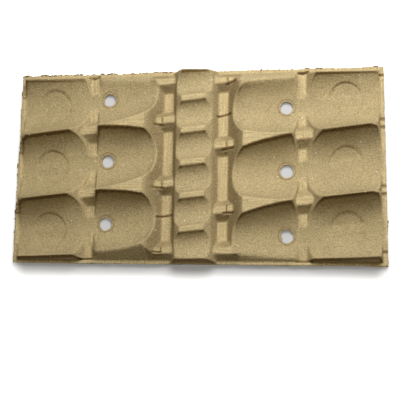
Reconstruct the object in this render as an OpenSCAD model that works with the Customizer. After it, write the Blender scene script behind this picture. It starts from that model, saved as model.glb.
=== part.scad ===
// Moulded pulp bottle tray.
// One even-walled shell. Six bottles lie in it in two facing groups of three,
// and their necks pass each other over a cradled column in the middle.
// All bottle axes are parallel and slanted a little in plan, so each half of
// the tray is the other half turned by 180 degrees about Z.
// Frame: +X along the long side, +Y to the back, +Z up, origin at bottom centre.

/* [Tray] */
// Length of the tray over its lips
tray_l = 520; // [510:1:540]
// Width of the tray over its lips
tray_w = 275; // [270:1:290]
// Height of the ridges and of the neck column
tray_h = 40; // [36:0.5:42]
// Thickness of the pulp wall
wall = 3; // [2:0.1:3.5]
// Width of the flat lip around the tray
lip_w = 5.5; // [4:0.25:8]
// Height of the top of the lip
lip_top = 7; // [6:0.25:9]
// Slope of the long side walls beside the shoulders, from upright
inner_side_draft = 33; // [25:1:38]
// Slope of the long side walls beside the bottle bases, from upright
outer_side_draft = 17; // [10:1:24]
// Slope of the end walls, from upright
end_draft = 17; // [10:1:24]
// Size of the bevel that rounds off the ends of the ridges
end_bevel = 8; // [4:0.5:12]

/* [Bottles] */
// Distance from the axis of one bottle to the next, across the tray
row_w = 90; // [86:0.5:92]
// Slant of the bottle axes in plan
slant = 6.4; // [5:0.1:7.5]
// Radius of the cavity for the body of a bottle
body_r = 44.25; // [40:0.25:44.5]
// Height of the floor at the middle of a cavity
floor_top = 3.6; // [3.6:0.1:5]
// Distance of the start of the shoulder from the middle of the tray
shoulder_at = 140; // [130:1:150]
// Radius of the curve of the shoulder along the bottle
shoulder_curve = 257; // [220:1:300]
// Radius of the cradles for the bottle necks
neck_r = 20; // [17:0.25:20.5]
// Distance that a neck reaches past the middle of the tray
neck_reach = 38; // [34:0.5:42]

/* [Neck column] */
// Half width of the column at the floor of the channels
column_foot = 32; // [29:0.5:34]
// Half width of the column at its shoulder
column_mid = 24.5; // [22:0.5:26]
// Half length of the flat tops between the cradles
column_top = 16; // [12:0.5:20]
// Height of the shoulder of the column
column_mid_h = 29; // [26:0.5:32]
// Slope of the end walls of the column, from upright
column_draft = 8; // [6:1:14]

/* [Inner channels] */
// Height of the floor of the inner channels
inner_floor = 7.5; // [6:0.25:9]
// Width of the floor of the inner channels
inner_floor_w = 13.5; // [10:0.5:16]
// Height of the crests in the inner channels
inner_crest = 20.5; // [17:0.5:24]
// Width of the crests in the inner channels
inner_crest_w = 8.5; // [6:0.5:12]
// Slope of the channel wall that ends the ridges, from upright
inner_draft = 35; // [28:1:38]

/* [Outer channels] */
// Distance of the floor of the outer channels from the middle of the tray
outer_at = 142.5; // [140:0.5:147]
// Height of the floor of the outer channels
outer_floor = 4.75; // [4.75:0.25:7]
// Width of the floor of the outer channels
outer_floor_w = 12; // [9:0.5:15]
// Height of the crests in the outer channels
outer_crest = 18.5; // [15:0.5:22]
// Width of the crests in the outer channels
outer_crest_w = 10.5; // [7:0.5:13]
// Slope of the wall that ends the outer ridges, from upright
outer_draft = 29; // [22:1:35]
// Slope of the wall that ends the inner ridges, from upright
outer_back_draft = 16; // [8:1:20]

/* [Crests, feet and holes] */
// Slope of the sides of the crests, from upright
crest_draft = 38; // [30:1:44]
// Distance of the feet from the middle of the tray
foot_at = 208; // [200:1:214]
// Radius of the round recess of a foot
foot_r = 23.5; // [18:0.5:25]
// Half width of the flat along the middle of a foot
foot_flat = 9; // [6:0.5:12]
// Slope of the side of a foot, from upright
foot_draft = 8; // [4:1:16]
// Distance of the holes from the middle of the tray
hole_at = 127; // [118:0.5:130]
// Diameter of the holes
hole_d = 18; // [12:0.5:22]

/* [Hidden] */
$fn = 72;
shoulder_steps = 6;
rows = [-1, 0, 1];
// Slope of the bottle axes and height at which they lie
axis_slope = tan(slant);
axis_h = floor_top + body_r;
// Where the shoulder has narrowed to the neck
neck_from = shoulder_at - sqrt(2 * shoulder_curve * (body_r - neck_r));
// Inner edges of the lip at the long sides and at the ends, and where the ridges end
side_y = tray_w / 2 - lip_w;
end_x = tray_l / 2 - lip_w;
ridge_x = end_x - lip_w / 4;
// Foot of the end walls of the neck column, which leave a narrow rim of the lip
column_y = tray_w / 2 - lip_w / 4;
// Radius of the curved recess of a foot, which lies around the axis of its bottle
foot_curve = norm([axis_h - wall, foot_flat]);
// Where the two slopes of the long sides meet, in the middle of the outer channels
side_split = outer_at + outer_floor_w / 2;
// Room below and above the tray that the cutting shapes run into
below = 2 * wall;
above = tray_h + 4 * wall;
beyond = tray_l;

function unit(v) = v / norm(v);
function left(v) = [-v[1], v[0]];

// Polygon p, given anticlockwise, with every side moved inwards by k
function inset(p, k) =
  [for (i = [0 : len(p) - 1])
    let (n = len(p))
    let (m = left(unit(p[i] - p[(i + n - 1) % n])))
    let (q = left(unit(p[(i + 1) % n] - p[i])))
    p[i] + k * (m + q) / (1 + m * q)];

// Polygon with the points of its right half, and their mirror images
function mirrored(p) = concat(p, [for (i = [len(p) - 1 : -1 : 0]) [-p[i][0], p[i][1]]]);

// Radius of the shoulder at a distance u from the middle of the tray
function shoulder_r(u) = body_r - pow(shoulder_at - u, 2) / (2 * shoulder_curve);

// Place along Y of the axis of a bottle of the left half, at a distance u from the middle
function axis_y(row, u) = row_w / 4 + row * row_w - u * axis_slope;

// Half of a section that leans in from the lip's edge at half width w
function leaning(w, draft) =
  let (t = tan(draft))
  [[w + (lip_top + below) * t, -below], [w - (tray_h - lip_top) * t, tray_h]];

// A section in XZ drawn out along Y, and one in YZ drawn out along X
module along_y(p, l) {
  rotate([90, 0, 0])
    linear_extrude(height = l, center = true)
      polygon(p);
}

module along_x(p, l) {
  rotate([90, 0, 90])
    linear_extrude(height = l, center = true)
      polygon(p);
}

// Both halves of the tray from its left half
module both_halves() {
  children();
  rotate([0, 0, 180])
    children();
}

// Space of one bottle of the left half, with its neck towards +X, grown by k.
// Its base lies past the end of the tray
module bottle(k) {
  base = tray_l / 2 + lip_w;
  shoulder = [for (i = [0 : shoulder_steps])
    let (u = shoulder_at + (neck_from - shoulder_at) * i / shoulder_steps)
    [shoulder_r(u) + k, -u]];
  rotate([0, 0, slant])
    rotate([0, 90, 0])
      rotate_extrude()
        polygon(concat(
          [[0, -base], [body_r + k, -base]],
          shoulder,
          [[neck_r + k, neck_reach + k], [0, neck_reach + k]]));
}

// Bottles of the left half, cut off along the inner edge of the end lip
module left_bottles(k) {
  intersection() {
    union() {
      for (i = rows)
        translate([0, axis_y(i, 0), axis_h])
          bottle(k);
    }
    translate([-end_x - k, -beyond, -beyond])
      cube(2 * beyond);
  }
}

// Plain mound with sloped sides, steeper beside the bottle bases, shrunk by k
module mound(k) {
  wide = mirrored(leaning(side_y, outer_side_draft));
  narrow = mirrored(leaning(side_y, inner_side_draft));
  end = leaning(ridge_x, end_draft);
  nose = end[1] + end_bevel * [tan(end_draft), -1];
  ends = mirrored([end[0], nose, end[1] - [end_bevel, 0]]);
  intersection() {
    union() {
      along_x(inset(narrow, k), beyond);
      both_halves()
        translate([-side_split - k - beyond / 2, 0, 0])
          along_x(inset(wide, k), beyond);
    }
    along_y(inset(ends, k), beyond);
  }
}

// Flat lip: its upper face at k = 0 and its lower face at k = wall
module lip(k) {
  size = k > 0 ? [2 * tray_l, 2 * tray_w] : [tray_l, tray_w];
  translate([0, 0, -below])
    linear_extrude(height = below + lip_top - k)
      square(size, center = true);
}

// Space above a channel's floor and crests, lowered by k. The crests follow the
// ridges of the left half at a distance u from the middle, and towards the long
// sides the floor rises to the same height at a distance edge from the middle
module above_crests(u, floor_h, crest_h, crest_w, edge, k) {
  run = (crest_h - floor_h) * tan(crest_draft);
  ridges = [for (i = [-1, 0]) axis_y(i + 1 / 2, u)];
  crests = [for (y = ridges) each [
    [y - crest_w / 2 - run, floor_h], [y - crest_w / 2, crest_h],
    [y + crest_w / 2, crest_h], [y + crest_w / 2 + run, floor_h]]];
  outline = concat(
    [[-beyond, crest_h], [-edge, crest_h], [-edge + run, floor_h]],
    crests,
    [[edge - run, floor_h], [edge, crest_h], [beyond, crest_h]],
    [[beyond, 2 * above], [-beyond, 2 * above]]);
  translate([-u, 0, 0])
    rotate([0, 0, slant])
      along_x(inset(outline, -k), row_w);
}

// Inner channel of the left half, between the ridges and the neck column. A crest
// closes it at each long side
module inner_channel(k) {
  ridge_foot = column_foot + inner_floor_w;
  ridge_t = tan(inner_draft);
  foot_t = (column_foot - column_mid) / (column_mid_h - inner_floor);
  top_t = (column_mid - column_top) / (tray_h - column_mid_h);
  low = inner_floor / 3;
  section = [
    [-ridge_foot + (inner_floor - low) * ridge_t, low],
    [-column_foot - (inner_floor - low) * foot_t, low],
    [-column_mid, column_mid_h],
    [-column_top + (above - tray_h) * top_t, above],
    [-ridge_foot - (above - inner_floor) * ridge_t, above]];
  edge = side_y - (inner_crest - lip_top) * tan(inner_side_draft) - inner_crest_w;
  intersection() {
    along_y(inset(section, -k), beyond);
    above_crests(column_foot + inner_floor_w / 2, inner_floor, inner_crest,
      inner_crest_w, edge, k);
  }
}

// Outer channel of the left half, across the ridges. It runs out to the lip at each
// long side
module outer_channel(k) {
  ridge_foot = outer_at + outer_floor_w;
  ridge_t = tan(outer_draft);
  back_t = tan(outer_back_draft);
  section = [
    [-ridge_foot + outer_floor * ridge_t, 0],
    [-outer_at - outer_floor * back_t, 0],
    [-outer_at + (above - outer_floor) * back_t, above],
    [-ridge_foot - (above - outer_floor) * ridge_t, above]];
  edge = side_y + (outer_crest - lip_top) * tan(crest_draft);
  intersection() {
    along_y(inset(section, -k), beyond);
    above_crests(side_split, outer_floor, outer_crest, outer_crest_w, edge, k);
  }
}

// Column between the inner channels, shrunk by k
module neck_column(k) {
  foot_t = (column_foot - column_mid) / (column_mid_h - inner_floor);
  section = mirrored([
    [column_foot + (inner_floor + below) * foot_t, -below],
    [column_mid, column_mid_h],
    [column_top, tray_h]]);
  side = mirrored(leaning(column_y, column_draft));
  intersection() {
    along_y(inset(section, k), beyond);
    along_x(inset(side, k), beyond);
  }
}

// Recesses of the feet of the left half at k = 0, and their outsides at k = wall:
// round in plan, curved like the cavity, and flat along the middle
module left_feet(k) {
  h = body_r / 3;
  for (i = rows)
    intersection() {
      translate([-foot_at, axis_y(i, foot_at), wall - k])
        cylinder(h = h, r1 = foot_r + k, r2 = foot_r + k + h * tan(foot_draft));
      translate([0, axis_y(i, 0), axis_h])
        rotate([0, 0, slant])
          rotate([0, 90, 0])
            cylinder(h = 2 * tray_l, r = foot_curve + k, center = true);
    }
}

// Everything below the upper face (k = 0) or below the lower face (k = wall)
module form(k) {
  difference() {
    union() {
      difference() {
        union() {
          mound(k);
          lip(k);
        }
        both_halves() {
          inner_channel(k);
          outer_channel(k);
        }
      }
      neck_column(k);
    }
    both_halves() {
      left_bottles(k);
      left_feet(k);
    }
  }
}

module left_holes() {
  for (i = rows)
    translate([-hole_at, axis_y(i, hole_at), -below])
      cylinder(h = above, d = hole_d);
}

module ground() {
  translate([-beyond, -beyond, -beyond])
    cube([2 * beyond, 2 * beyond, beyond]);
}

module tray() {
  color([0.7, 0.61, 0.43])
    difference() {
      form(0);
      form(wall);
      ground();
      both_halves()
        left_holes();
    }
}

tray();
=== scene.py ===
# %% [markdown]
# # A moulded pulp bottle tray
#
# The tray is pressed from wet paper pulp: one even wall that bends up and down to make six bottle
# beds, two groups of three that face each other across a column of neck cradles. The imported CAD
# model gives its true form. This lesson lays a fine skin over that form and gives the skin what
# pulp has and a clean solid lacks: soft edges, an uneven face, mould marks, torn rims and fibre.
#
# The first step loads the frame and keeps its box.
# The form is worked out in millimetres, and MM turns them into Blender's metres.

# %% Load the frame
import math

import bpy
import numpy as np
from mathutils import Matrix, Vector
from mathutils.bvhtree import BVHTree


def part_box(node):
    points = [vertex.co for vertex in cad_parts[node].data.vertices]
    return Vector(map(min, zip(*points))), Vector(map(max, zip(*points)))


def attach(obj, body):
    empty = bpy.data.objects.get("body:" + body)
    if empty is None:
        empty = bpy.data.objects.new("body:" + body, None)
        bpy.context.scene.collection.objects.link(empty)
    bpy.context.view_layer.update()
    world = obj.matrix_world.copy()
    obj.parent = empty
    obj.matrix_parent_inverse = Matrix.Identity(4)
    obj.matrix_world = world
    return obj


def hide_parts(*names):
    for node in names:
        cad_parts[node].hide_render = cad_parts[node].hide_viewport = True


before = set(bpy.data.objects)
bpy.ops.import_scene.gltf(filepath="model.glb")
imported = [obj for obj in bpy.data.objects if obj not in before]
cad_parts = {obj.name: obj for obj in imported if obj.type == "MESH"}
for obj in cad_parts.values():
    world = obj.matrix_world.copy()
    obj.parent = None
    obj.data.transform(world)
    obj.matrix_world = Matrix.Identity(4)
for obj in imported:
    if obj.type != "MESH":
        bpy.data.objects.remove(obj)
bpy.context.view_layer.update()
low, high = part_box("tray")
MM = 0.001
HALF_L, HALF_W = high.x / MM, high.y / MM
print("CAD box in mm:", [round(c / MM, 1) for c in (*low, *high)])

# %% [markdown]
# ## Camera
#
# The camera stands almost above the tray, a little to its right and towards the viewer. Its place
# and its turn were solved once from the holes and the corners, and the lens goes with a square
# picture, so no shift is needed.

# %% Camera
IMAGE_PX, FOCAL_PX = 420, 582.97
EYE_AT = (0.11566, -0.16435, 0.80046)
EYE_TURN = (0.1291719, 0.1160912, 0.0148149)


def add_object(name, data):
    """A new object in the scene, at the origin."""
    added = bpy.data.objects.new(name, data)
    bpy.context.scene.collection.objects.link(added)
    return added


eye = bpy.data.cameras.new("eye")
eye.sensor_width = 36.0
eye.lens = FOCAL_PX / IMAGE_PX * eye.sensor_width
eye.clip_start = 0.01
camera = add_object("eye", eye)
camera.location = EYE_AT
camera.rotation_euler = EYE_TURN
bpy.context.scene.camera = camera
print("lens in mm:", round(eye.lens, 2))

# %% [markdown]
# ## Reading the form as two height maps
#
# Every wall of a moulded tray leans, or it would not leave its mould. So each face, the upper and
# the lower one, has one height at each place in plan, and two height maps hold the whole form.
# Rays dropped on the CAD solid read them. A map is easy to soften and to mark, and a mesh made
# from it has even cells, which a CAD mesh with its long slivers has not.

# %% Drop rays on the solid
CELL = 0.5
JUST_INSIDE = 1 - 1e-6
xs = np.linspace(-HALF_L, HALF_L, round(2 * HALF_L / CELL) + 1)
ys = np.linspace(-HALF_W, HALF_W, round(2 * HALF_W / CELL) + 1)
solid = BVHTree.FromObject(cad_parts["tray"], bpy.context.evaluated_depsgraph_get())


def drop_rays(start, way):
    """Heights in mm where rays from z = start meet the solid, with nan where they miss it."""
    heights = np.full((len(ys), len(xs)), np.nan)
    for row, y in enumerate(ys * JUST_INSIDE * MM):
        for col, x in enumerate(xs * JUST_INSIDE * MM):
            hit = solid.ray_cast(Vector((x, y, start)), way)[0]
            if hit is not None:
                heights[row, col] = hit.z / MM
    return heights


upper_map = drop_rays(2 * high.z, Vector((0, 0, -1)))
lower_map = drop_rays(-high.z, Vector((0, 0, 1)))
open_cells = np.isnan(upper_map)
print("map cells:", upper_map.shape, "open:", round(open_cells.mean() * 100, 2), "%")

# %% [markdown]
# ## Soft edges
#
# Wet fibre bridges every corner of the wire mould, so the felt side has no sharp edge. A bevel
# would round only the edges that are picked for it. A small Gaussian blur of the height map rounds
# them all, and pressing the map a little away from a wider blur keeps the ridges full. The ends of
# the column and the side walls beside the shoulders are softer than the rest.
#
# First the holes are filled from their edges, because a blur needs a height everywhere. They come
# back when the skin is cut.

# %% Fill the holes


def neighbours(grid):
    """The four shifted copies of a map, with its edge repeated."""
    padded = np.pad(grid, 1, mode="edge")
    return np.stack([padded[:-2, 1:-1], padded[2:, 1:-1], padded[1:-1, :-2], padded[1:-1, 2:]])


def filled(grid):
    """A map whose empty cells take the mean of their known neighbours, from the edge inwards."""
    grid = grid.copy()
    while np.isnan(grid).any():
        around = neighbours(grid)
        known = ~np.isnan(around)
        mean = np.where(known, around, 0).sum(0) / np.maximum(known.sum(0), 1)
        fresh = np.isnan(grid) & known.any(0)
        grid[fresh] = mean[fresh]
    return grid


sharp_map, lower_map = filled(upper_map), filled(lower_map)
print("cells filled above:", open_cells.sum())

# %% Soften the maps
UPPER_SOFTNESS, LOWER_SOFTNESS = 0.55, 1.0
EDGE_PRESS, EDGE_REACH = 0.15, 2.5
COLUMN_ENDS = ((0.0, 32.0), (118.0, 140.0), 1.7)
SHOULDER_WALLS = ((62.0, 150.0), (106.0, 130.0), 3.6)
SOFTER_FADE = 2.0


def blurred(grid, radius):
    """Gaussian blur with a standard deviation of radius mm."""
    reach = math.ceil(3 * radius / CELL)
    taps = np.exp(-0.5 * (np.arange(-reach, reach + 1) * CELL / radius) ** 2)
    taps /= taps.sum()
    for axis in (0, 1):
        margin = [(reach, reach) if a == axis else (0, 0) for a in (0, 1)]
        padded = np.pad(grid, margin, mode="edge")
        n = grid.shape[axis]
        grid = sum(tap * np.take(padded, np.arange(n) + i, axis) for i, tap in enumerate(taps))
    return grid


upper_map = blurred(sharp_map, UPPER_SOFTNESS)
upper_map += EDGE_PRESS * (upper_map - blurred(upper_map, EDGE_REACH))
for (from_x, to_x), (from_y, to_y), softness in (COLUMN_ENDS, SHOULDER_WALLS):
    in_x = (np.abs(xs) >= from_x) & (np.abs(xs) < to_x)
    in_y = (np.abs(ys) >= from_y) & (np.abs(ys) < to_y)
    softer = blurred((in_y[:, None] & in_x).astype(float), SOFTER_FADE)
    upper_map += softer * (blurred(upper_map, softness) - upper_map)
lower_map = blurred(lower_map, LOWER_SOFTNESS)
print("most taken off by softening, in mm:", round(float((sharp_map - upper_map).max()), 2))

# %% [markdown]
# ## Mould marks
#
# The mould is built up from inserts and wire, and each joint leaves a mark: a slit across every
# inner crest with a crease beside it, a cut across two of the channel strips, and hooks, notches
# and bumps in the lip. Drying adds wrinkles along three ridges. Shallow folds run along the cradles
# and over the wrinkles, and they mainly carry a painted shade line. Cutting them into a mesh would
# leave slivers, so all of them are strokes on the map: a groove along a line, deepest in its
# middle, and for some a raised edge where pulp was pushed up. A bump is a groove of negative depth.
#
# The wrinkles come first. A copy of the map, kept after them, later tells which strokes get painted
# shade.

# %% Wrinkles along three ridges
X, Y = np.meshgrid(xs, ys)
SLANT = math.tan(math.radians(6.4))
EDGE_AWAY = 1.6
WRINKLE = {"width": 2.0, "depth": 2.4, "edge": 1.1}


def groove(across, past, width):
    """1 on a line, falling off to its sides and past its ends."""
    return np.exp(-2 * ((across**2 + past**2) / width**2))


def draw(grid, lines, width, depth, edge=0.0):
    """Presses a groove along each line, in mm, with a raised edge on its left side."""
    for (ax, ay), (bx, by) in lines:
        length = math.hypot(bx - ax, by - ay)
        ux, uy = (bx - ax) / length, (by - ay) / length
        along = (X - ax) * ux + (Y - ay) * uy
        across = -(X - ax) * uy + (Y - ay) * ux
        past = np.maximum(np.abs(along - length / 2) - length / 2, 0)
        grid -= depth * groove(across, past, width)
        if edge:
            grid += edge * groove(across - EDGE_AWAY * width, past, width)


def slanted_line(from_x, to_x, y):
    """A line along the bottles' slant that meets the middle of the tray at y, in mm."""
    return (from_x, y + from_x * SLANT), (to_x, y + to_x * SLANT)


ridge_wrinkles = [
    slanted_line(-200.0, -240.0, -19.2),
    slanted_line(247.0, 196.0, 24.5),
    slanted_line(249.0, 190.0, -65.2),
]
draw(upper_map, ridge_wrinkles, **WRINKLE)
plain_map = upper_map.copy()
print("wrinkles:", len(ridge_wrinkles))

# %% Slits and creases on the inner crests
SLIT = {"width": 1.2, "depth": 3.2}
CREASE = {"width": 1.4, "depth": 4.2, "edge": 0.6}
crest_slits = [
    ((45.0, 122.0), (45.0, 113.0)), ((44.6, 31.0), (44.7, 22.0)),
    ((45.6, -57.0), (45.7, -66.0)), ((-46.4, 66.5), (-46.3, 59.5)),
    ((-44.8, -23.5), (-44.6, -31.0)), ((-44.6, -113.5), (-44.4, -120.0)),
]
crest_creases = [
    ((45.0, 114.4), (56.0, 118.0)), ((39.0, 20.4), (54.0, 23.2)),
    ((41.0, -67.4), (55.0, -66.8)), ((-56.5, 57.6), (-46.0, 56.6)),
    ((-57.0, -31.8), (-44.5, -32.6)), ((-55.0, -121.0), (-44.0, -121.4)),
]
draw(upper_map, crest_slits, **SLIT)
draw(upper_map, crest_creases, **CREASE)
print("slits and creases:", len(crest_slits), len(crest_creases))

# %% Cuts across two strips, folds with painted shade lines along the cradles
CUT = {"width": 1.5, "depth": 5.0, "edge": 1.6}
FOLD_AND_SHADE = {"width": 1.2, "depth": 0.7}
FOLD_FROM, FOLD_TO = -15.0, 18.0
CREST_HALF, ROW_W = 4.8, 90.0
strip_cuts = [((30.5, 69.7), (49.4, 73.7)), ((-51.5, -72.4), (-31.0, -69.6))]
neck_rows = np.arange(-2, 3) * ROW_W / 2
neck_folds_and_shade = [slanted_line(FOLD_FROM, FOLD_TO, y + CREST_HALF) for y in neck_rows]
draw(upper_map, strip_cuts, **CUT)
# Painted shade: the shade mask turns these shallow grooves into dark lines along the neck crests and the
# wrinkles.
draw(upper_map, neck_folds_and_shade + ridge_wrinkles, **FOLD_AND_SHADE)
print("cuts and folds:", len(strip_cuts), len(neck_folds_and_shade + ridge_wrinkles))

# %% Hooks, notches and bumps in the lip
NOTCH = {"width": 1.8, "depth": 3.4}
BUMP = {"width": 2.4, "depth": -1.3}
NOTCH_IN, NOTCH_OUT = 6.0, 1.0
BUMP_IN, BUMP_HALF = 2.5, 1.5
lip_hooks = [
    ((-159.0, 132.2), (-150.5, 131.2)), ((-150.5, 131.2), (-143.0, 133.6)),
    ((140.5, -132.4), (161.0, -131.4)), ((-162.0, -131.6), (-145.0, -131.2)),
    ((143.5, 131.4), (149.5, 130.6)), ((149.5, 130.6), (157.0, 132.8)),
]
left_notches, left_bumps = (104.5, 36.6, 21.7, -53.2, -66.2), (29.2, -59.7)
right_notches, right_bumps = (125.2, 63.7, 52.5, -28.6, -39.3, -118.0), (120.5, 58.1, -34.0)
lip_notches, lip_bumps = [], []
for side, notches, bumps in ((-1, left_notches, left_bumps), (1, right_notches, right_bumps)):
    inner, outer = side * (HALF_L - NOTCH_IN), side * (HALF_L + NOTCH_OUT)
    lip_notches += [((inner, y), (outer, y)) for y in notches]
    x = side * (HALF_L - BUMP_IN)
    lip_bumps += [((x, y - BUMP_HALF), (x, y + BUMP_HALF)) for y in bumps]
draw(upper_map, lip_hooks, **CREASE)
draw(upper_map, lip_notches, **NOTCH)
draw(upper_map, lip_bumps, **BUMP)
print("hooks, notches and bumps:", len(lip_hooks), len(lip_notches), len(lip_bumps))

# %% [markdown]
# ## Holes and feet
#
# A punch goes through the wet floor of each bed and leaves a slightly raised collar inside a fine
# ring. One punch was blunt: its hole is ragged, with a chip of pulp left on the left side. Each
# hole's centre and radius are measured on the open cells of the map, so they follow the CAD model.
# Round each foot the mould pressed a crescent, deepest on the far side. None of these marks may go
# through the wall, so the last of these cells keeps a least thickness of it everywhere.

# %% Find the holes
HOLE_SPAN = 30.0
holes = []
left_over = open_cells.copy()
while left_over.any():
    row, col = np.argwhere(left_over)[0]
    this_hole = left_over & (np.hypot(X - xs[col], Y - ys[row]) < HOLE_SPAN)
    radius = math.sqrt(this_hole.sum() * CELL * CELL / math.pi)
    holes.append((X[this_hole].mean(), Y[this_hole].mean(), radius))
    left_over &= ~this_hole
print("holes, x y r in mm:", [tuple(round(float(v), 1) for v in hole) for hole in holes])

# %% Outline and ring of each hole
FULL_TURN = 2 * math.pi
TURNS = np.linspace(0, FULL_TURN, 721)
RIM_WAVES, CLEAN_RIM, RAGGED_RIM = 12, 0.12, 0.35
RAGGED_BELOW = -60.0
CHIP_DEPTH, CHIP_AT, CHIP_WIDTH = 2.9, math.radians(200), 0.30
RING_DEPTH, RING_OUT, RING_WIDTH = 1.5, 2.6, 0.75
COLLAR_HEIGHT, COLLAR_OUT, COLLAR_WIDTH = 0.5, 1.0, 0.8
rng = np.random.default_rng(11)


def wavy(angles, amount, waves):
    """A closed random outline: the sum of a few waves round the circle."""
    total = np.zeros_like(angles)
    for n in range(2, waves):
        total += rng.normal(0, amount / n**0.5) * np.cos(n * angles + rng.uniform(0, FULL_TURN))
    return total


def bell(distance, width):
    """1 at no distance, falling off over a width on both sides."""
    return np.exp(-((distance / width) ** 2))


outlines = []
for cx, cy, r in holes:
    ragged = cx > 0 and cy < RAGGED_BELOW
    outline = r + wavy(TURNS, RAGGED_RIM if ragged else CLEAN_RIM, RIM_WAVES)
    if ragged:
        outline -= CHIP_DEPTH * bell(TURNS - CHIP_AT, CHIP_WIDTH)
    outlines.append(outline)
    away = np.hypot(X - cx, Y - cy)
    # The ring groove also gets painted shade, by its depth, in the shade mask.
    upper_map -= RING_DEPTH * bell(away - r - RING_OUT, RING_WIDTH)
    upper_map += COLLAR_HEIGHT * bell(away - r - COLLAR_OUT, COLLAR_WIDTH)
print("least radius of each hole in mm:", [round(float(outline.min()), 1) for outline in outlines])

# %% Crescents round the feet, and a least wall
FOOT_AT, FOOT_R = 208.0, 23.5
CRESCENT_DEPTH, CRESCENT_OUT, CRESCENT_WIDTH = 1.1, 0.3, 1.2
CRESCENT_ROUND, CRESCENT_POWER = 0.1, 4
THINNEST = 0.8
for side in (-1, 1):
    for row in (-1, 0, 1):
        cx, cy = side * FOOT_AT, row * ROW_W + side * (FOOT_AT * SLANT - ROW_W / 4)
        away, angle = np.hypot(X - cx, Y - cy), np.arctan2(Y - cy, X - cx)
        far_side = np.clip(np.sin(angle), 0, 1) ** CRESCENT_POWER
        deep = CRESCENT_ROUND + (1 - CRESCENT_ROUND) * far_side
        # The crescent also gets painted shade, by its depth, in the shade mask.
        upper_map -= CRESCENT_DEPTH * deep * bell(away - FOOT_R - CRESCENT_OUT, CRESCENT_WIDTH)
upper_map = np.maximum(upper_map, lower_map + THINNEST)
print("thinnest wall in mm:", round(float((upper_map - lower_map).min()), 2))

# %% [markdown]
# ## Where the face is pressed, and where light and shade are painted
#
# The finish changes with the form, and painting it by hand would have to be done again after each
# change. So four masks come straight from the maps. Faces that the mould left level are pressed
# smooth and carry streaks, and they and the lip are painted lighter: painted light on faces that
# look up. Edges that stand out are painted lighter too, a painted highlight. Steep faces show more
# grain and are painted a little darker. Painted shade darkens the cuts and creases, a line under the
# edges and the steep walls of the inner channels. A level face is one that has the same height a
# little way off on all four sides.

# %% Mask of the pressed faces, which also carries painted light
PRESSED_TO = 165.0
LIP_W = 5.5
WIDE, WIDE_STEP = 3.0, 0.05
NARROW, NARROW_STEP = 0.5, 0.02
GROW, GROW_SHARE = 2.0, 0.03
PRESSED_FADE = 0.8


def level_within(distance, step):
    """Where the form has the same height, to a step in mm, at a distance on all four sides."""
    reach = round(distance / CELL)
    padded = np.pad(sharp_map, reach, mode="edge")
    same = np.ones(sharp_map.shape, bool)
    for row, col in ((0, reach), (2 * reach, reach), (reach, 0), (reach, 2 * reach)):
        same &= np.abs(padded[row:row + len(ys), col:col + len(xs)] - sharp_map) < step
    return same


wide_faces = level_within(WIDE, WIDE_STEP) & (np.abs(X) < PRESSED_TO)
level_faces = blurred(wide_faces.astype(float), GROW) > GROW_SHARE
level_faces &= level_within(NARROW, NARROW_STEP)
level_faces |= np.maximum(np.abs(X) - HALF_L, np.abs(Y) - HALF_W) > -LIP_W
# Painted light: through this mask the level faces and the lip are made lighter; it also places the
# streaks.
pressed_and_lit_map = blurred(level_faces.astype(float), PRESSED_FADE)
print("level share of the face:", round(float(level_faces.mean()), 3))

# %% Masks of steep faces, of edges with a painted highlight, and of painted shade
SLOPE_BLUR, STEEP_FULL, STEEP_FROM = 1.0, 1.6, 0.2
CURVE_REACH, CURVE_FULL = 1.8, 1.2
CREASE_FULL = 2.2
UNDER_EDGE, EDGE_SHADE, EDGE_FADE = 1.5, 1.3, 0.5
EDGE_STEEP, EDGE_FROM = 0.9, 0.3
WALL_FROM, WALL_FULL, WALL_TO, WALL_END, WALL_SHADE = 28.0, 44.0, 60.0, 66.0, 0.6


def ramp(values, start, end):
    """0 at start, 1 at end, and even steps between them."""
    return np.clip((values - start) / (end - start), 0, 1)


slope_y, slope_x = np.gradient(blurred(sharp_map, SLOPE_BLUR), CELL)
steep_map = np.clip(np.hypot(slope_x, slope_y) / STEEP_FULL - STEEP_FROM, 0, 1)
# Edges that stand out: the tone is made lighter there, a painted highlight, and the painted shade under
# the edges starts from them.
edge_highlight_map = np.clip((upper_map - blurred(upper_map, CURVE_REACH)) / CURVE_FULL, 0, 1)
# Painted shade by depth in every stroke, ring and crescent cut after the wrinkles.
stroke_dark = np.clip((plain_map - upper_map) / CREASE_FULL, 0, 1)
# Painted shade: a dark line just below each standing edge, on faces that rise towards the far side.
below_edge = np.roll(edge_highlight_map**2, -round(UNDER_EDGE / CELL), axis=0)
below_edge = blurred(below_edge * np.clip(slope_y / EDGE_STEEP - EDGE_FROM, 0, 1), EDGE_FADE)
edge_dark = np.clip(EDGE_SHADE * below_edge, 0, 1)
# Painted shade on the steep walls of the inner channels.
channel_wall = ramp(np.abs(X), WALL_FROM, WALL_FULL) * ramp(np.abs(X), WALL_END, WALL_TO)
wall_dark = WALL_SHADE * channel_wall * steep_map
# All painted shade in one mask.
painted_shade_map = np.maximum(np.maximum(stroke_dark, edge_dark), wall_dark)
mask_maps = {"pressed_and_lit": pressed_and_lit_map, "edge_highlight": edge_highlight_map, "painted_shade": painted_shade_map, "steep": steep_map}
print("mean of each mask:", {name: round(float(mask.mean()), 3) for name, mask in mask_maps.items()})

# %% [markdown]
# ## The skin's cells
#
# The ridges run slanted along the tray and the channels straight across it. If the cells lie the
# same way, no edge is cut into steps. So the rows of cells follow the slant in the middle of the
# tray and come back to the straight long sides at its rim. Cells inside a hole are left out, and
# the points round it move onto its outline.

# %% Plan of the cells
STRAIGHT_FROM = 75.0
UPPER_CELL, LOWER_CELL = (1.42, 1.403), (2.4, 2.4)


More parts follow.
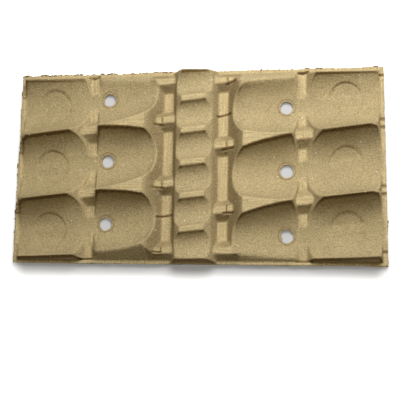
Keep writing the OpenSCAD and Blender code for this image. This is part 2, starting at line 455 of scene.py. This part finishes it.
def plan(cell_x, cell_y):
    """Plan of a skin: columns along X, and rows that are slanted in the middle of the tray."""
    px = np.linspace(-HALF_L, HALF_L, round(2 * HALF_L / cell_x) + 1)
    pv = np.linspace(-HALF_W, HALF_W, round(2 * HALF_W / cell_y) + 1)
    slanted = ramp(np.abs(pv), HALF_W, STRAIGHT_FROM)
    gx, gv = np.meshgrid(px, pv)
    return gx, gv + SLANT * gx * slanted[:, None]


upper_plan = plan(*UPPER_CELL)
lower_plan = plan(*LOWER_CELL)
print("points above and below:", upper_plan[0].shape, lower_plan[0].shape)

# %% Cut the holes
SETTLE_REACH, SETTLE_ROUNDS = 8.0, 6


def cut_holes(px, py):
    """Which cells stay, and each hole's rim, with the points round it moved onto its outline."""
    keep = np.ones((px.shape[0] - 1, px.shape[1] - 1), bool)
    mx, my = (px[:-1, :-1] + px[1:, 1:]) / 2, (py[:-1, :-1] + py[1:, 1:]) / 2
    rims = []
    for (cx, cy, r), outline in zip(holes, outlines):
        angle = np.arctan2(my - cy, mx - cx) % FULL_TURN
        inside = np.hypot(mx - cx, my - cy) < np.interp(angle, TURNS, outline)
        keep &= ~inside
        touched, stays = np.zeros(px.shape, bool), np.zeros(px.shape, bool)
        for down, right in ((0, 0), (0, 1), (1, 0), (1, 1)):
            corner = (slice(down, down + keep.shape[0]), slice(right, right + keep.shape[1]))
            touched[corner] |= inside
            stays[corner] |= ~inside
        rim = touched & stays
        at = np.arctan2(py[rim] - cy, px[rim] - cx) % FULL_TURN
        reach = np.interp(at, TURNS, outline)
        px[rim], py[rim] = cx + reach * np.cos(at), cy + reach * np.sin(at)
        close = (np.hypot(px - cx, py - cy) < r + SETTLE_REACH) & ~touched
        for _ in range(SETTLE_ROUNDS):
            for p in (px, py):
                p[close] = neighbours(p).mean(0)[close]
        rims.append(np.argwhere(rim)[np.argsort(at)])
    return keep, rims


upper_keep, upper_rims = cut_holes(*upper_plan)
lower_keep, lower_rims = cut_holes(*lower_plan)
print("cells left out above and below:", (~upper_keep).sum(), (~lower_keep).sum())

# %% [markdown]
# ## Heights and the torn rim
#
# Each point of the plan takes its height from the map. The ends of the ridges curl aside as they
# dry, so near the ends of the tray the map is read a little to the side. The rim is a torn edge:
# its points move in and out by random steps, a coarse row of them and a fine one.

# %% Heights of the points
CURL_FROM, CURL = 233.0, 5.0
CURL_IN_FROM, CURL_IN_FULL = 10.0, 35.0
BEFORE_END = 1.001


def heights_at(grid, px, py):
    """The map's height at each place, between its four nearest cells."""
    # Places stay a little before the map's last cell, so that each has a next cell.
    u = np.clip((px + HALF_L) / CELL, 0, len(xs) - BEFORE_END)
    v = np.clip((py + HALF_W) / CELL, 0, len(ys) - BEFORE_END)
    i, j = u.astype(int), v.astype(int)
    a, b = u - i, v - j
    near = grid[j, i] * (1 - a) + grid[j, i + 1] * a
    far = grid[j + 1, i] * (1 - a) + grid[j + 1, i + 1] * a
    return near * (1 - b) + far * b


def curled(px, py):
    """Places on the map for places on the skin: the ends of the ridges curl aside."""
    along = ramp(np.abs(px), CURL_FROM, HALF_L)
    inside = ramp(HALF_W - np.abs(py), CURL_IN_FROM, CURL_IN_FULL)
    return px, py + np.sign(px) * CURL * along**2 * inside


upper_z = heights_at(upper_map, *curled(*upper_plan))
lower_z = heights_at(lower_map, *curled(*lower_plan))
print("highest point above and below, in mm:", round(upper_z.max(), 1), round(lower_z.max(), 1))

# %% Tear the outer rim
RIM_TEAR, RIM_WAVE = 0.35, 0.25
TEAR_STEP = 8
ON_RIM = 0.1


def border(shape):
    """Rows and columns of a grid's outer points, once round, anticlockwise from its low corner."""
    r, c = shape[0] - 1, shape[1] - 1
    ring = [(0, i) for i in range(c)] + [(i, c) for i in range(r)]
    ring += [(r, i) for i in range(c, 0, -1)] + [(i, 0) for i in range(r, 0, -1)]
    return np.array(ring)


def torn(n, amount):
    """Random in and out steps of a torn edge, at a coarse and at a fine scale."""
    knots = np.arange(0, n + TEAR_STEP, TEAR_STEP)
    coarse = np.interp(np.arange(n), knots, rng.normal(0, amount, len(knots)))
    return coarse + rng.normal(0, amount / 2, n)


def tear_rim(px, py, pz):
    """Moves the outer points of a face at random and returns their rows and columns."""
    ring = border(px.shape)
    at = tuple(ring.T)
    out = torn(len(ring), RIM_TEAR) - RIM_TEAR
    at_end = np.abs(px[at]) > HALF_L - ON_RIM
    at_side = np.abs(py[at]) > HALF_W - ON_RIM
    px[at] += np.sign(px[at]) * out * at_end
    py[at] += np.sign(py[at]) * out * at_side
    pz[at] += rng.normal(0, RIM_WAVE, len(ring))
    return ring


upper_rims.append(tear_rim(*upper_plan, upper_z))
lower_rims.append(tear_rim(*lower_plan, lower_z))
print("points of the outer rim above and below:", len(upper_rims[-1]), len(lower_rims[-1]))

# %% [markdown]
# ## One closed skin
#
# The two faces meet along the outer rim and in the six holes. Their rims don't have the same number
# of points, so each pair is closed like a zip: walk round both at once, and always step on the side
# that lags behind. The points inside the holes are then left out, and each mask is stored with the
# points of the upper face.

# %% Number the points


def numbered(px, py, pz, keep, rims):
    """A face's points, its cells as point numbers and its rims as point numbers."""
    number = np.arange(px.size).reshape(px.shape)
    cells = np.stack([number[:-1, :-1], number[:-1, 1:], number[1:, 1:], number[1:, :-1]], -1)
    points = np.stack([px, py, pz], -1).reshape(-1, 3)
    return points, cells[keep], [number[tuple(rim.T)] for rim in rims]


upper_points, upper_faces, upper_rims = numbered(*upper_plan, upper_z, upper_keep, upper_rims)
lower_points, lower_faces, lower_rims = numbered(*lower_plan, lower_z, lower_keep, lower_rims)
points = np.concatenate([upper_points, lower_points])
shift = len(upper_points)
print("faces above and below:", len(upper_faces), len(lower_faces))

# %% Zip the two faces together


def unrolled(ring, centre):
    """A ring from the point nearest to the +X side of centre, and the share of its way at each point."""
    p = points[ring] - centre
    angle = np.unwrap(np.arctan2(p[:, 1], p[:, 0]))
    first = np.argmin(np.abs(np.angle(np.exp(1j * angle))))
    ring = np.roll(ring, -first)
    step = np.linalg.norm(np.diff(points[np.append(ring, ring[0])][:, :2], axis=0), axis=1)
    return ring, np.append(0, np.cumsum(step)) / step.sum()


def zipped(one, other, centre):
    """Triangles between two rings of point numbers that run the same way round centre."""
    (a, s), (b, t) = unrolled(one, centre), unrolled(other, centre)
    i = j = 0
    triangles = []
    while i < len(a) or j < len(b):
        if j == len(b) or (i < len(a) and s[i + 1] <= t[j + 1]):
            triangles.append((a[i], a[(i + 1) % len(a)], b[j % len(b)]))
            i += 1
        else:
            triangles.append((a[i % len(a)], b[(j + 1) % len(b)], b[j]))
            j += 1
    return triangles


centres = [np.array([cx, cy, 0]) for cx, cy, r in holes] + [np.zeros(3)]
bands = [zipped(*rings) for rings in zip(upper_rims, [rim + shift for rim in lower_rims], centres)]
outer_band = [triangle[::-1] for triangle in bands.pop()]
seams = [triangle for band in bands for triangle in band] + outer_band
print("triangles in the seams:", len(seams))

# %% Mesh of the skin
faces = [tuple(f) for f in upper_faces] + [tuple(f[::-1]) for f in lower_faces + shift] + seams
used = np.zeros(len(points), bool)
used[np.concatenate([np.ravel(f) for f in faces])] = True
new_number = np.cumsum(used) - 1
skin_mesh = bpy.data.meshes.new("pulp_skin")
skin_mesh.from_pydata((points[used] * MM).tolist(), [], [tuple(new_number[list(f)]) for f in faces])
for name, mask in mask_maps.items():
    values = np.zeros(len(points))
    values[:shift] = heights_at(mask, *upper_plan).ravel()
    skin_mesh.attributes.new(name, "FLOAT", "POINT").data.foreach_set("value", values[used])
skin = add_object("pulp_skin", skin_mesh)
print("points:", used.sum(), "left out inside holes:", (~used).sum(), "faces:", len(faces))

# %% [markdown]
# ## An uneven face
#
# Pulp settles in flocks, so no face of it is flat. A small Geometry Nodes tree moves every point of
# the skin along its normal by three sizes of noise: the slow swell of a face that dried unevenly,
# the flocks, and the lumps of single fibre bundles. A tree suits this, because the rule is the same
# everywhere and its sizes stay open as named inputs. It takes its material as an input too, so it
# runs later, when the materials are there.

# %% A tree with named inputs
UNEVEN = {"Swell Height": 1.1, "Swell Size": 55.0, "Flock Height": 0.55, "Flock Size": 9.0,
          "Bundle Height": 0.32, "Bundle Size": 3.4}


def new_tree(name, inputs):
    """A Geometry Nodes tree with named number inputs and a material, and its two end nodes."""
    tree = bpy.data.node_groups.new(name, "GeometryNodeTree")
    tree.interface.new_socket("Geometry", in_out="INPUT", socket_type="NodeSocketGeometry")
    for label, value in inputs.items():
        socket = tree.interface.new_socket(label, in_out="INPUT", socket_type="NodeSocketFloat")
        socket.default_value = value
    tree.interface.new_socket("Finish", in_out="INPUT", socket_type="NodeSocketMaterial")
    tree.interface.new_socket("Geometry", in_out="OUTPUT", socket_type="NodeSocketGeometry")
    return tree, tree.nodes.new("NodeGroupInput"), tree.nodes.new("NodeGroupOutput")


uneven, uneven_in, uneven_out = new_tree("uneven_pulp", UNEVEN)
print("inputs of the tree:", [socket.name for socket in uneven_in.outputs if socket.name])

# %% Noise of three sizes


def feed(tree, slots, values):
    """Sets each slot to a constant, or links it to a socket."""
    for slot, value in zip(slots, values):
        if isinstance(value, (int, float, tuple)):
            slot.default_value = value
        else:
            tree.links.new(value, slot)


def maths(tree, operation, *values, clamp=False):
    """A Math node on sockets or numbers."""
    node = tree.nodes.new("ShaderNodeMath")
    node.operation = operation
    node.use_clamp = clamp
    feed(tree, node.inputs, values)
    return node.outputs[0]


total = 0.0
for kind in ("Swell", "Flock", "Bundle"):
    noise = uneven.nodes.new("ShaderNodeTexNoise")
    scale = maths(uneven, "DIVIDE", 1 / MM, uneven_in.outputs[kind + " Size"])
    feed(uneven, (noise.inputs["Scale"], noise.inputs["Detail"]), (scale, 1.0))
    swing = maths(uneven, "SUBTRACT", noise.outputs[0], 0.5)
    rise = maths(uneven, "MULTIPLY", swing, uneven_in.outputs[kind + " Height"])
    total = maths(uneven, "ADD", total, rise)
print("nodes for the noise:", len(uneven.nodes))

# %% Move the points along their normals


def end_tree(tree, geometry, source, sink):
    """Ends a tree as the export needs it: instances made real, and a material on every face."""
    real = tree.nodes.new("GeometryNodeRealizeInstances")
    finish = tree.nodes.new("GeometryNodeSetMaterial")
    tree.links.new(geometry, real.inputs[0])
    tree.links.new(real.outputs[0], finish.inputs["Geometry"])
    tree.links.new(source.outputs["Finish"], finish.inputs["Material"])
    tree.links.new(finish.outputs[0], sink.inputs["Geometry"])


normal = uneven.nodes.new("GeometryNodeInputNormal")
move = uneven.nodes.new("ShaderNodeVectorMath")
move.operation = "SCALE"
put = uneven.nodes.new("GeometryNodeSetPosition")
uneven.links.new(normal.outputs[0], move.inputs[0])
uneven.links.new(maths(uneven, "MULTIPLY", total, MM), move.inputs["Scale"])
uneven.links.new(uneven_in.outputs["Geometry"], put.inputs["Geometry"])
uneven.links.new(move.outputs[0], put.inputs["Offset"])
end_tree(uneven, put.outputs[0], uneven_in, uneven_out)
print("nodes in the tree:", len(uneven.nodes))

# %% [markdown]
# ## Torn fibre along the rim
#
# Where the wet sheet was trimmed, tufts of fibre stand out of the edge. They repeat along a path,
# so a second tree sets them: it walks the rim, drops most places at random, and puts a small lump
# on each of the others, stretched at random. The far edge carries the most, in patches, and one
# stretch of it is almost clean.

# %% Path round the rim
EDGE_FUZZ = (0.9, 0.02, 0.0, 0.15)
CLEAN_FROM, CLEAN_TO, CLEAN_SHARE = -36.0, 215.0, 0.08
PATH_STEP, EDGE_IN = 5.0, 0.2
PATCH_MEAN, PATCH_SWING, PATCH_LEAST, PATCH_MOST = 0.55, 0.9, 0.1, 1.3
PATCH_X, PATCH_START, PATCH_Y, PATCH_DRIFT = 17.0, 1.3, 23.0, 41.0


def fuzz_at(x, y, edge_fuzz):
    """The share of places that carry a tuft at one place of an edge."""
    first, second = math.sin(x / PATCH_X + PATCH_START), math.sin(y / PATCH_Y + x / PATCH_DRIFT)
    patchy = min(max(PATCH_MEAN + PATCH_SWING * first * second, PATCH_LEAST), PATCH_MOST)
    clean = y > 0 and CLEAN_FROM < x < CLEAN_TO
    return edge_fuzz * patchy * (CLEAN_SHARE if clean else 1)


corners = [(-HALF_L, HALF_W), (HALF_L, HALF_W), (HALF_L, -HALF_W), (-HALF_L, -HALF_W)]
path_points, path_fuzz = [], []
for (ax, ay), (bx, by), edge_fuzz in zip(corners, corners[1:] + corners[:1], EDGE_FUZZ):
    steps = round(math.hypot(bx - ax, by - ay) / PATH_STEP)
    for t in np.arange(steps) / steps:
        x, y = ax + (bx - ax) * t, ay + (by - ay) * t
        x, y = x * (1 - EDGE_IN / HALF_L), y * (1 - EDGE_IN / HALF_W)
        z = (heights_at(upper_map, x, y) + heights_at(lower_map, x, y)) / 2
        path_points.append((x * MM, y * MM, float(z) * MM))
        path_fuzz.append(fuzz_at(x, y, edge_fuzz))
count = len(path_points)
path_mesh = bpy.data.meshes.new("rim_tufts")
path_mesh.from_pydata(path_points, [(i, (i + 1) % count) for i in range(count)], [])
path_mesh.attributes.new("fuzz", "FLOAT", "POINT").data.foreach_set("value", path_fuzz)
tufts = add_object("rim_tufts", path_mesh)
print("rim path points:", count)

# %% Tree that picks places along the path
TUFTS = {"Spacing": 2.6 * MM, "Reach": 0.8 * MM, "Size": 2.2 * MM}


def random_value(tree, least, most, seed):
    """A Random Value node between two numbers, or between two vectors."""
    node = tree.nodes.new("FunctionNodeRandomValue")
    vector = isinstance(least, tuple)
    node.data_type = "FLOAT_VECTOR" if vector else "FLOAT"
    first = 0 if vector else 2
    node.inputs[first].default_value, node.inputs[first + 1].default_value = least, most
    node.inputs["Seed"].default_value = seed
    return node.outputs[0 if vector else 1]


torn_fibre, torn_in, torn_out = new_tree("torn_fibre", TUFTS)
link = torn_fibre.links.new
to_curve = torn_fibre.nodes.new("GeometryNodeMeshToCurve")
walk = torn_fibre.nodes.new("GeometryNodeResampleCurve")
walk.mode = "LENGTH"
to_points = torn_fibre.nodes.new("GeometryNodeCurveToPoints")
to_points.mode = "EVALUATED"
fuzz = torn_fibre.nodes.new("GeometryNodeInputNamedAttribute")
fuzz.data_type = "FLOAT"
fuzz.inputs["Name"].default_value = "fuzz"
drop = torn_fibre.nodes.new("GeometryNodeDeleteGeometry")
drop.domain = "POINT"
chance = random_value(torn_fibre, 0.0, 1.0, seed=1)
link(torn_in.outputs["Geometry"], to_curve.inputs[0])
link(to_curve.outputs[0], walk.inputs["Curve"])
link(torn_in.outputs["Spacing"], walk.inputs["Length"])
link(walk.outputs[0], to_points.inputs[0])
link(to_points.outputs[0], drop.inputs["Geometry"])
link(maths(torn_fibre, "GREATER_THAN", chance, fuzz.outputs["Attribute"]), drop.inputs["Selection"])
print("nodes that pick places:", len(torn_fibre.nodes))

# %% The same tree puts a lump on each place
LEAST_STRETCH, MOST_STRETCH = (0.45, 0.45, 0.6), (0.9, 0.9, 2.0)
jitter = torn_fibre.nodes.new("ShaderNodeVectorMath")
jitter.operation = "SCALE"
spread = torn_fibre.nodes.new("GeometryNodeSetPosition")
lump = torn_fibre.nodes.new("GeometryNodeMeshIcoSphere")
lump.inputs["Subdivisions"].default_value = 2
stamp = torn_fibre.nodes.new("GeometryNodeInstanceOnPoints")
link(drop.outputs[0], spread.inputs["Geometry"])
link(random_value(torn_fibre, (-1, -1, -1), (1, 1, 1), seed=2), jitter.inputs[0])
link(torn_in.outputs["Reach"], jitter.inputs["Scale"])
link(jitter.outputs[0], spread.inputs["Offset"])
link(torn_in.outputs["Size"], lump.inputs["Radius"])
link(spread.outputs[0], stamp.inputs["Points"])
link(lump.outputs[0], stamp.inputs["Instance"])
link(to_points.outputs["Rotation"], stamp.inputs["Rotation"])
link(random_value(torn_fibre, LEAST_STRETCH, MOST_STRETCH, seed=4), stamp.inputs["Scale"])
end_tree(torn_fibre, stamp.outputs[0], torn_in, torn_out)
print("nodes in the tree:", len(torn_fibre.nodes))

# %% [markdown]
# ## Pulp as a finish
#
# Grey-brown pulp is a felt of short fibres. Close by, its colour is a fine salt and pepper; further
# off, it drifts in soft clouds, with a few pale flecks of unbroken paper and dark specks of bark.
# A picture of pulp would repeat and would have to be laid out on the skin. Noise on the object's own
# coordinates needs neither, and it can read the masks. The skin and its tufts are the same stuff, so
# one node group makes the pattern for both, and each material keeps its own shader.

# %% Shared node group: its sockets and masks
INPUTS = {"Tone": (0.5, 0.4, 0.2, 1), "Pale": (0.8, 0.74, 0.6, 1), "Dark": (0.1, 0.07, 0.03, 1),
          "Shade": (0.6, 0.5, 0.4, 1), "Grain": 0.3, "Clouds": 0.2}
OUTPUTS = {"Color": "NodeSocketColor", "Height": "NodeSocketFloat", "Roughness": "NodeSocketFloat"}
fibre = bpy.data.node_groups.new("pulp_fibre", "ShaderNodeTree")
for label, value in INPUTS.items():
    kind = "NodeSocketColor" if isinstance(value, tuple) else "NodeSocketFloat"
    fibre.interface.new_socket(label, in_out="INPUT", socket_type=kind).default_value = value
for label, kind in OUTPUTS.items():
    fibre.interface.new_socket(label, in_out="OUTPUT", socket_type=kind)
given = fibre.nodes.new("NodeGroupInput").outputs
result = fibre.nodes.new("NodeGroupOutput").inputs
place = fibre.nodes.new("ShaderNodeTexCoord").outputs["Object"]
parts = {}
for name in mask_maps:
    reader = fibre.nodes.new("ShaderNodeAttribute")
    reader.attribute_name = name
    parts[name] = reader.outputs["Fac"]
print("masks that the group reads:", list(parts))

# %% Threads and streaks
THREAD_FINE = 22.0
STRIPS_BELOW = 12.0
COMB, COMB_UP = 0.07, 0.3


def noise_of(tree, where, size, detail, twist=0.0):
    """Noise with features of about size mm."""
    node = tree.nodes.new("ShaderNodeTexNoise")
    slots = [node.inputs[label] for label in ("Vector", "Scale", "Detail", "Distortion")]
    feed(tree, slots, (where, 1 / (size * MM), detail, twist))
    return node.outputs[0]


def combed(angle, scale):
    """Streaks on the pressed faces, drawn out along the way that the scale makes small."""
    turned = fibre.nodes.new("ShaderNodeMapping")
    turned.inputs["Rotation"].default_value = (0, 0, angle)
    turned.inputs["Scale"].default_value = scale
    fibre.links.new(place, turned.inputs["Vector"])
    streak = noise_of(fibre, turned.outputs[0], size=2.4, detail=1.0)
    return maths(fibre, "MULTIPLY", maths(fibre, "SUBTRACT", streak, 0.5), parts["pressed_and_lit"])


threads = noise_of(fibre, place, size=4.0, detail=2.0, twist=2.2)
off_thread = maths(fibre, "ABSOLUTE", maths(fibre, "SUBTRACT", threads, 0.5))
off_thread = maths(fibre, "MULTIPLY", off_thread, THREAD_FINE)
parts["thread"] = maths(fibre, "SUBTRACT", 1.0, off_thread, clamp=True)
ridge_streaks = combed(-math.atan(SLANT), (COMB, 1, COMB_UP))
strip_streaks = combed(0, (1, COMB, COMB_UP))
position = fibre.nodes.new("ShaderNodeSeparateXYZ")
fibre.links.new(place, position.inputs[0])
on_ridge = maths(fibre, "GREATER_THAN", position.outputs["Z"], STRIPS_BELOW * MM)
difference = maths(fibre, "SUBTRACT", ridge_streaks, strip_streaks)
parts["streaks"] = maths(fibre, "MULTIPLY_ADD", difference, on_ridge, strip_streaks)
print("nodes so far:", len(fibre.nodes))

# %% Grain, clouds and masks make the tone
STEEP_GRAIN = 0.3
# Painted light and shade in the tone: level faces and the lip lighter, standing-out edges lighter as a
# painted highlight, steep faces darker as painted shade. Threads and streaks are the pulp's own.
BRIGHTER = {"thread": 0.05, "streaks": 0.8, "pressed_and_lit": 0.24, "edge_highlight": 0.12, "steep": -0.08}


def weighted(tree, start, weights):
    """A start value plus each named part times its weight."""
    for name, weight in weights.items():
        start = maths(tree, "ADD", start, maths(tree, "MULTIPLY", parts[name], weight))
    return start


def swing_of(tree, noise, amount):
    """Noise about 0, times an amount."""
    return maths(tree, "MULTIPLY", maths(tree, "SUBTRACT", noise, 0.5), amount)


grain = noise_of(fibre, place, size=1.9, detail=3.0)
clouds = noise_of(fibre, place, size=38.0, detail=2.0)
coarser = maths(fibre, "MULTIPLY_ADD", parts["steep"], STEEP_GRAIN, 1.0)
grain_swing = maths(fibre, "MULTIPLY", swing_of(fibre, grain, given["Grain"]), coarser)
cloud_swing = swing_of(fibre, clouds, given["Clouds"])
brightness = maths(fibre, "ADD", 1.0, maths(fibre, "ADD", grain_swing, cloud_swing))
brightness = weighted(fibre, brightness, BRIGHTER)
grey = fibre.nodes.new("ShaderNodeCombineColor")
feed(fibre, grey.inputs[:3], (brightness, brightness, brightness))
print("nodes so far:", len(fibre.nodes))

# %% Colour, height and roughness
SPECK_EDGE = 1.6
PALE_SHARE, DARK_SHARE = 0.9, 0.7
HIGHER = {"thread": 0.18, "pale": 0.5, "streaks": 0.8}
ROUGH, ROUGH_GRAIN = 0.86, 0.12


def mixed(tree, how, amount, one, other):
    """A Mix node on two colours."""
    node = tree.nodes.new("ShaderNodeMix")
    node.data_type = "RGBA"
    node.blend_type = how
    feed(tree, (node.inputs["Factor"], node.inputs[6], node.inputs[7]), (amount, one, other))
    return node.outputs[2]


def specks_of(tree, where, apart, size):
    """Round specks of about size mm, one in each cell of about apart mm."""
    node = tree.nodes.new("ShaderNodeTexVoronoi")
    feed(tree, (node.inputs["Vector"], node.inputs["Scale"]), (where, 1 / (apart * MM)))
    off_speck = maths(tree, "DIVIDE", node.outputs["Distance"], size / 2 / apart)
    off_speck = maths(tree, "MULTIPLY", off_speck, SPECK_EDGE)
    return maths(tree, "SUBTRACT", SPECK_EDGE, off_speck, clamp=True)


colour = mixed(fibre, "MULTIPLY", 1.0, given["Tone"], grey.outputs[0])
# Painted shade: the shade mask mixes the tone towards the Shade colour.
colour = mixed(fibre, "MULTIPLY", parts["painted_shade"], colour, given["Shade"])
parts["pale"] = specks_of(fibre, place, apart=17.0, size=3.0)
parts["dark"] = specks_of(fibre, place, apart=8.0, size=1.5)
pale_share = maths(fibre, "MULTIPLY", parts["pale"], PALE_SHARE)
dark_share = maths(fibre, "MULTIPLY", parts["dark"], DARK_SHARE)
colour = mixed(fibre, "MIX", pale_share, colour, given["Pale"])
colour = mixed(fibre, "MIX", dark_share, colour, given["Dark"])
rough = maths(fibre, "ADD", ROUGH, maths(fibre, "MULTIPLY", grain, ROUGH_GRAIN))
fibre.links.new(colour, result["Color"])
fibre.links.new(weighted(fibre, grain, HIGHER), result["Height"])
fibre.links.new(rough, result["Roughness"])
print("nodes in the fibre group:", len(fibre.nodes))

# %% Materials of the skin and of the tufts
# SHADE is the colour of the painted shade.
PALE_FLECK, BARK, SHADE = (0.86, 0.80, 0.62, 1), (0.12, 0.08, 0.035, 1), (0.38, 0.3, 0.2, 1)


def pulp_material(name, tone, grain, clouds, relief):
    """Matte pulp: the shared fibre pattern on a Principled shader, with a relief in mm."""
    material = bpy.data.materials.new(name)
    material.use_nodes = True
    material.diffuse_color = (*tone, 1)
    tree = material.node_tree
    shader = tree.nodes["Principled BSDF"]
    shader.inputs["Specular IOR Level"].default_value = 0.2
    pattern = tree.nodes.new("ShaderNodeGroup")
    pattern.node_tree = fibre
    settings = {"Tone": (*tone, 1), "Pale": PALE_FLECK, "Dark": BARK, "Shade": SHADE,
                "Grain": grain, "Clouds": clouds}
    for label, value in settings.items():
        pattern.inputs[label].default_value = value
    bump = tree.nodes.new("ShaderNodeBump")
    bump.inputs["Strength"].default_value = 0.8
    bump.inputs["Distance"].default_value = relief * MM
    tree.links.new(pattern.outputs["Height"], bump.inputs["Height"])
    tree.links.new(bump.outputs[0], shader.inputs["Normal"])
    tree.links.new(pattern.outputs["Color"], shader.inputs["Base Color"])
    tree.links.new(pattern.outputs["Roughness"], shader.inputs["Roughness"])
    return material


pulp = pulp_material("pulp", (0.492, 0.391, 0.211), grain=1.35, clouds=0.25, relief=1.8)
# The tufts are painted dark: painted shade standing for the shade on the lumps.
tuft_pulp_painted_shade = pulp_material("tuft_pulp_painted_shade", (0.25, 0.18, 0.08), grain=1.4, clouds=0.5, relief=0.8)
print("materials:", pulp.name, tuft_pulp_painted_shade.name)

# %% [markdown]
# ## Running the trees
#
# Now both trees get their material and run. Each result is kept as a plain mesh and the modifier is
# removed, because the export takes plain meshes. The skin keeps its masks, and the tufts have none.
# The tray stands on the floor, so points of the skin that the noise has moved below it go back up.

# %% Run the trees and keep plain meshes


def bake_tree(piece, tree, material, keep_masks):
    """Runs a tree on a piece and keeps the result as its plain mesh."""
    modifier = piece.modifiers.new(tree.name, "NODES")
    modifier.node_group = tree
    modifier[tree.interface.items_tree["Finish"].identifier] = material
    graph = bpy.context.evaluated_depsgraph_get()
    shaped = piece.evaluated_get(graph)
    piece.data = bpy.data.meshes.new_from_object(
        shaped, preserve_all_data_layers=keep_masks, depsgraph=graph)
    piece.modifiers.remove(modifier)
    piece.data.shade_smooth()


bake_tree(skin, uneven, pulp, keep_masks=True)
bake_tree(tufts, torn_fibre, tuft_pulp_painted_shade, keep_masks=False)
for point in skin.data.vertices:
    point.co.z = max(point.co.z, low.z)
print("points of the skin and of the tufts:", len(skin.data.vertices), len(tufts.data.vertices))

# %% [markdown]
# ## Pieces and body
#
# The tray is one rigid body, so both pieces ride on it. The skin stands for the CAD node, and the
# simulation keeps the solid.

# %% Ride and replace
for piece in (skin, tufts):
    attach(piece, "root")
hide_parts("tray")
for piece in (skin, tufts):
    print(piece.name, "triangles:", sum(len(p.vertices) - 2 for p in piece.data.polygons))

# %% [markdown]
# ## Floor and light
#
# The tray lies on a white sheet. One soft lamp stands behind it on the right, so the far wall of
# each bed is in shade and the near wall is bright, and a warm sky, which the camera sees as white,
# fills the shade. A plain white floor would turn grey towards its edge. So to the camera the sheet
# glows, less close to the tray, where its paper is painted darker too, in a patch shifted towards the
# front: a painted shadow on top of the tray's real shadow. The sheet stays white out to its edge.
# Sizes in these cells are in metres.

# %% Floor sheet
FLOOR_SIZE = 8.0
FLOOR_DROP = 0.2 * MM
half = FLOOR_SIZE / 2
sheet_points = [(-half, -half, 0), (half, -half, 0), (half, half, 0), (-half, half, 0)]
sheet = bpy.data.meshes.new("floor")
sheet.from_pydata(sheet_points, [], [(0, 1, 2, 3)])
floor = add_object("floor", sheet)
floor.location.z = low.z - FLOOR_DROP
print("floor:", FLOOR_SIZE, "m wide")

# %% Distance from the tray on the sheet
# Painted shadow: the paper darkens and the glow weakens near the tray, in a patch shifted towards the
# front.
SHADE_INSET = Vector((0.02, 0.02, 0))
SHADE_SHIFT = Vector((0, -0.013, 0))
SHEET_FADE, GLOW_FADE = (0.009, 0.060), (0.011, 0.035)
white = bpy.data.materials.new("white_sheet")
white.use_nodes = True
paper = white.node_tree
paper.nodes.clear()
beyond = paper.nodes.new("ShaderNodeTexCoord").outputs["Object"]
for operation, other in (("SUBTRACT", SHADE_SHIFT), ("ABSOLUTE", None),
                         ("SUBTRACT", high - SHADE_INSET), ("MAXIMUM", (0, 0, 0))):
    node = paper.nodes.new("ShaderNodeVectorMath")
    node.operation = operation
    paper.links.new(beyond, node.inputs[0])
    if other is not None:
        node.inputs[1].default_value = other
    beyond = node.outputs[0]
distance = paper.nodes.new("ShaderNodeVectorMath")
distance.operation = "LENGTH"
paper.links.new(beyond, distance.inputs[0])
fades = []
for start, end in (SHEET_FADE, GLOW_FADE):
    fade = paper.nodes.new("ShaderNodeMapRange")
    fade.interpolation_type = "SMOOTHSTEP"
    slots = [fade.inputs[label] for label in ("Value", "From Min", "From Max")]
    feed(paper, slots, (distance.outputs["Value"], start, end))
    fades.append(fade.outputs[0])
print("fades end at, in m:", SHEET_FADE[1], GLOW_FADE[1])

# %% Paper and its glow
# Paper and glow close to the tray make the painted shadow.
GLOW_NEAR, GLOW_FAR = 0.20, 0.9
SHEET_PAINTED_SHADOW, SHEET_OPEN = (0.42, 0.42, 0.43, 1), (0.9, 0.9, 0.9, 1)
surface = paper.nodes.new("ShaderNodeOutputMaterial")
matte = paper.nodes.new("ShaderNodeBsdfDiffuse")
glow = paper.nodes.new("ShaderNodeEmission")
both = paper.nodes.new("ShaderNodeAddShader")
light_path = paper.nodes.new("ShaderNodeLightPath")
rays = light_path.outputs["Is Camera Ray"]
for kind in ("Is Glossy Ray", "Is Transmission Ray"):
    rays = maths(paper, "MAXIMUM", rays, light_path.outputs[kind])
strength = maths(paper, "MULTIPLY_ADD", fades[1], GLOW_FAR - GLOW_NEAR, GLOW_NEAR)
paper.links.new(mixed(paper, "MIX", fades[0], SHEET_PAINTED_SHADOW, SHEET_OPEN), matte.inputs["Color"])
paper.links.new(maths(paper, "MULTIPLY", rays, strength), glow.inputs["Strength"])
paper.links.new(matte.outputs[0], both.inputs[0])
paper.links.new(glow.outputs[0], both.inputs[1])
paper.links.new(both.outputs[0], surface.inputs["Surface"])
floor.data.materials.append(white)
print("glow near and far:", GLOW_NEAR, GLOW_FAR)

# %% Lamp, sky and view
LAMP_AT = Vector((0.20, 0.40, 0.74))
SKY_LIGHT = 0.155
SKY_COLOUR, WHITE = (1, 0.855, 0.52, 1), (1, 1, 1, 1)
lamp = bpy.data.lights.new("soft_lamp", "AREA")
lamp.shape = "DISK"
lamp.size = 0.55
lamp.energy = 8.5
lamp_object = add_object("soft_lamp", lamp)
lamp_object.location = LAMP_AT
lamp_object.rotation_euler = (-LAMP_AT).to_track_quat("-Z", "Y").to_euler()

sky = bpy.data.worlds.new("white_sky")
sky.use_nodes = True
air = sky.node_tree
background = air.nodes["Background"]
to_camera = air.nodes.new("ShaderNodeLightPath").outputs["Is Camera Ray"]
extra = maths(air, "MULTIPLY", to_camera, 1 - SKY_LIGHT)
air.links.new(mixed(air, "MIX", to_camera, SKY_COLOUR, WHITE), background.inputs["Color"])
air.links.new(maths(air, "ADD", extra, SKY_LIGHT), background.inputs["Strength"])
bpy.context.scene.world = sky
bpy.context.scene.view_settings.view_transform = "Standard"
print("lamp W:", lamp.energy, "sky:", SKY_LIGHT)
